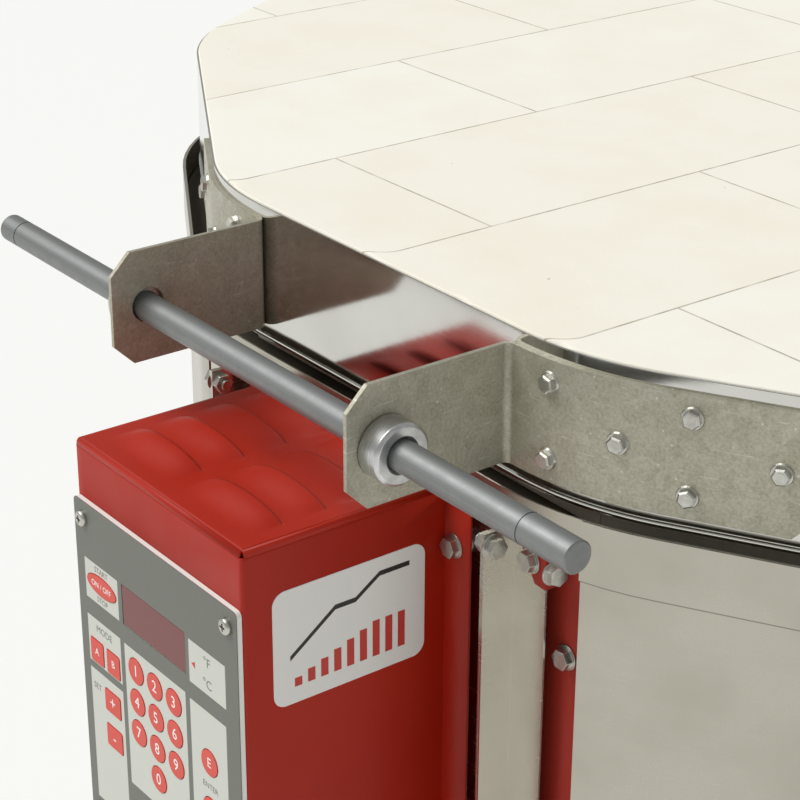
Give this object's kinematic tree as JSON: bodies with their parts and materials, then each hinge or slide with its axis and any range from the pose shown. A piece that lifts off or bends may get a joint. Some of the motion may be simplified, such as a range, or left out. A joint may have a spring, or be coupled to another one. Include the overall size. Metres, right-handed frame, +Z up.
{
  "type": "ceramic kiln",
  "caption": "Top-loading electric ceramic kiln: polygonal brick body in a stainless jacket, hinged lid with a full-width handle rod, red control case with a keypad, on a low stand.",
  "frame": {"origin": "on the floor, under the middle of the whole kiln's bounding box", "axes": "+Z up; -Y is the front, where the control case and the handle are; +X is to the right of someone who faces the control case; the chamber's axis stands at y = 2.67 mm"},
  "size_m": [0.9448, 1.1434, 1.074],
  "materials": {
    "firebrick": "matt",
    "bright_stainless": "mirror",
    "stainless": "satin",
    "galvanised": "mottled",
    "zinc_fasteners": "satin",
    "steel_rod": "satin",
    "backing_fibre": "matt",
    "dark_red_paint": "satin",
    "element_wire": "matt",
    "ceramic_parts": "matt",
    "red_paint": "satin",
    "plate_coating": "satin",
    "face_screw_steel": "satin",
    "display_tint": "gloss",
    "board": "satin",
    "black_plastic": "matt",
    "label_film": "satin",
    "key_red": "satin"
  },
  "bodies": {
    "kiln_body": {"wall_bricks_bottom": "firebrick", "wall_bricks_middle": "firebrick", "wall_bricks_top": "firebrick", "floor_bricks": "firebrick", "floor_band": "bright_stainless", "body_jacket": "stainless", "front_channel": "stainless", "side_strips": "stainless", "hinge_bracket": "galvanised", "stand_frame": "galvanised", "body_screws": "zinc_fasteners", "closure_bolts": "zinc_fasteners", "hinge_collars": "zinc_fasteners", "case_spacers": "zinc_fasteners", "hinge_rod": "steel_rod", "backing_insulation": "backing_fibre", "mounting_plate": "dark_red_paint", "closure_bracket": "dark_red_paint", "heating_elements": "element_wire", "element_pins": "element_wire", "pin_insulators": "ceramic_parts", "thermocouple": "ceramic_parts", "control_case": "red_paint", "face_plate": "plate_coating", "face_screws": "face_screw_steel", "display_window": "display_tint", "controller_board": "board", "relays": "black_plastic", "terminal_block": "black_plastic", "power_inlet": "black_plastic", "feet": "black_plastic", "side_label": "label_film"},
    "lid": {"lid_bricks": "firebrick", "lid_band": "bright_stainless", "handle_strap_left": "galvanised", "handle_strap_right": "galvanised", "hinge_strap_left": "galvanised", "hinge_strap_right": "galvanised", "strap_screws": "zinc_fasteners"},
    "handle": {"handle_rod": "steel_rod", "handle_collars": "zinc_fasteners"},
    "plug_lower": {"peephole_plug_lower": "ceramic_parts"},
    "plug_upper": {"peephole_plug_upper": "ceramic_parts"},
    "key_start_stop": {"key_start_stop": "key_red"},
    "key_mode_left": {"key_mode_left": "key_red"},
    "key_mode_right": {"key_mode_right": "key_red"},
    "key_option_upper": {"key_option_upper": "key_red"},
    "key_option_lower": {"key_option_lower": "key_red"},
    "key_entry_upper": {"key_entry_upper": "key_red"},
    "key_entry_lower": {"key_entry_lower": "key_red"},
    "key_0": {"key_0": "key_red"},
    "key_1": {"key_1": "key_red"},
    "key_2": {"key_2": "key_red"},
    "key_3": {"key_3": "key_red"},
    "key_4": {"key_4": "key_red"},
    "key_5": {"key_5": "key_red"},
    "key_6": {"key_6": "key_red"},
    "key_7": {"key_7": "key_red"},
    "key_8": {"key_8": "key_red"},
    "key_9": {"key_9": "key_red"}
  },
  "joints": [
    {"name": "lid_hinge", "type": "hinge", "parent": "kiln_body", "child": "lid", "pos_m": [0, 0.52677, 1.0241], "axis": [-1, 0, 0], "range_deg": [0, 97]},
    {"name": "handle_spin", "type": "hinge", "parent": "lid", "child": "handle", "pos_m": [0, -0.52143, 1.02295], "axis": [1, 0, 0], "continuous": true},
    {"name": "plug_lower_slide", "type": "slide", "parent": "kiln_body", "child": "plug_lower", "axis": [0.866, -0.5, 0], "range_m": [0, 0.11]},
    {"name": "plug_upper_slide", "type": "slide", "parent": "kiln_body", "child": "plug_upper", "axis": [0.866, -0.5, 0], "range_m": [0, 0.11]},
    {"name": "key_start_stop_press", "type": "slide", "parent": "kiln_body", "child": "key_start_stop", "axis": [0, 1, 0], "range_m": [0, 0.0005], "stiffness_N_per_m": 2000, "springref_m": -0.0005},
    {"name": "key_mode_left_press", "type": "slide", "parent": "kiln_body", "child": "key_mode_left", "axis": [0, 1, 0], "range_m": [0, 0.0005], "stiffness_N_per_m": 2000, "springref_m": -0.0005},
    {"name": "key_mode_right_press", "type": "slide", "parent": "kiln_body", "child": "key_mode_right", "axis": [0, 1, 0], "range_m": [0, 0.0005], "stiffness_N_per_m": 2000, "springref_m": -0.0005},
    {"name": "key_option_upper_press", "type": "slide", "parent": "kiln_body", "child": "key_option_upper", "axis": [0, 1, 0], "range_m": [0, 0.0005], "stiffness_N_per_m": 2000, "springref_m": -0.0005},
    {"name": "key_option_lower_press", "type": "slide", "parent": "kiln_body", "child": "key_option_lower", "axis": [0, 1, 0], "range_m": [0, 0.0005], "stiffness_N_per_m": 2000, "springref_m": -0.0005},
    {"name": "key_entry_upper_press", "type": "slide", "parent": "kiln_body", "child": "key_entry_upper", "axis": [0, 1, 0], "range_m": [0, 0.0005], "stiffness_N_per_m": 2000, "springref_m": -0.0005},
    {"name": "key_entry_lower_press", "type": "slide", "parent": "kiln_body", "child": "key_entry_lower", "axis": [0, 1, 0], "range_m": [0, 0.0005], "stiffness_N_per_m": 2000, "springref_m": -0.0005},
    {"name": "key_0_press", "type": "slide", "parent": "kiln_body", "child": "key_0", "axis": [0, 1, 0], "range_m": [0, 0.0005], "stiffness_N_per_m": 2000, "springref_m": -0.0005},
    {"name": "key_1_press", "type": "slide", "parent": "kiln_body", "child": "key_1", "axis": [0, 1, 0], "range_m": [0, 0.0005], "stiffness_N_per_m": 2000, "springref_m": -0.0005},
    {"name": "key_2_press", "type": "slide", "parent": "kiln_body", "child": "key_2", "axis": [0, 1, 0], "range_m": [0, 0.0005], "stiffness_N_per_m": 2000, "springref_m": -0.0005},
    {"name": "key_3_press", "type": "slide", "parent": "kiln_body", "child": "key_3", "axis": [0, 1, 0], "range_m": [0, 0.0005], "stiffness_N_per_m": 2000, "springref_m": -0.0005},
    {"name": "key_4_press", "type": "slide", "parent": "kiln_body", "child": "key_4", "axis": [0, 1, 0], "range_m": [0, 0.0005], "stiffness_N_per_m": 2000, "springref_m": -0.0005},
    {"name": "key_5_press", "type": "slide", "parent": "kiln_body", "child": "key_5", "axis": [0, 1, 0], "range_m": [0, 0.0005], "stiffness_N_per_m": 2000, "springref_m": -0.0005},
    {"name": "key_6_press", "type": "slide", "parent": "kiln_body", "child": "key_6", "axis": [0, 1, 0], "range_m": [0, 0.0005], "stiffness_N_per_m": 2000, "springref_m": -0.0005},
    {"name": "key_7_press", "type": "slide", "parent": "kiln_body", "child": "key_7", "axis": [0, 1, 0], "range_m": [0, 0.0005], "stiffness_N_per_m": 2000, "springref_m": -0.0005},
    {"name": "key_8_press", "type": "slide", "parent": "kiln_body", "child": "key_8", "axis": [0, 1, 0], "range_m": [0, 0.0005], "stiffness_N_per_m": 2000, "springref_m": -0.0005},
    {"name": "key_9_press", "type": "slide", "parent": "kiln_body", "child": "key_9", "axis": [0, 1, 0], "range_m": [0, 0.0005], "stiffness_N_per_m": 2000, "springref_m": -0.0005}
  ]
}
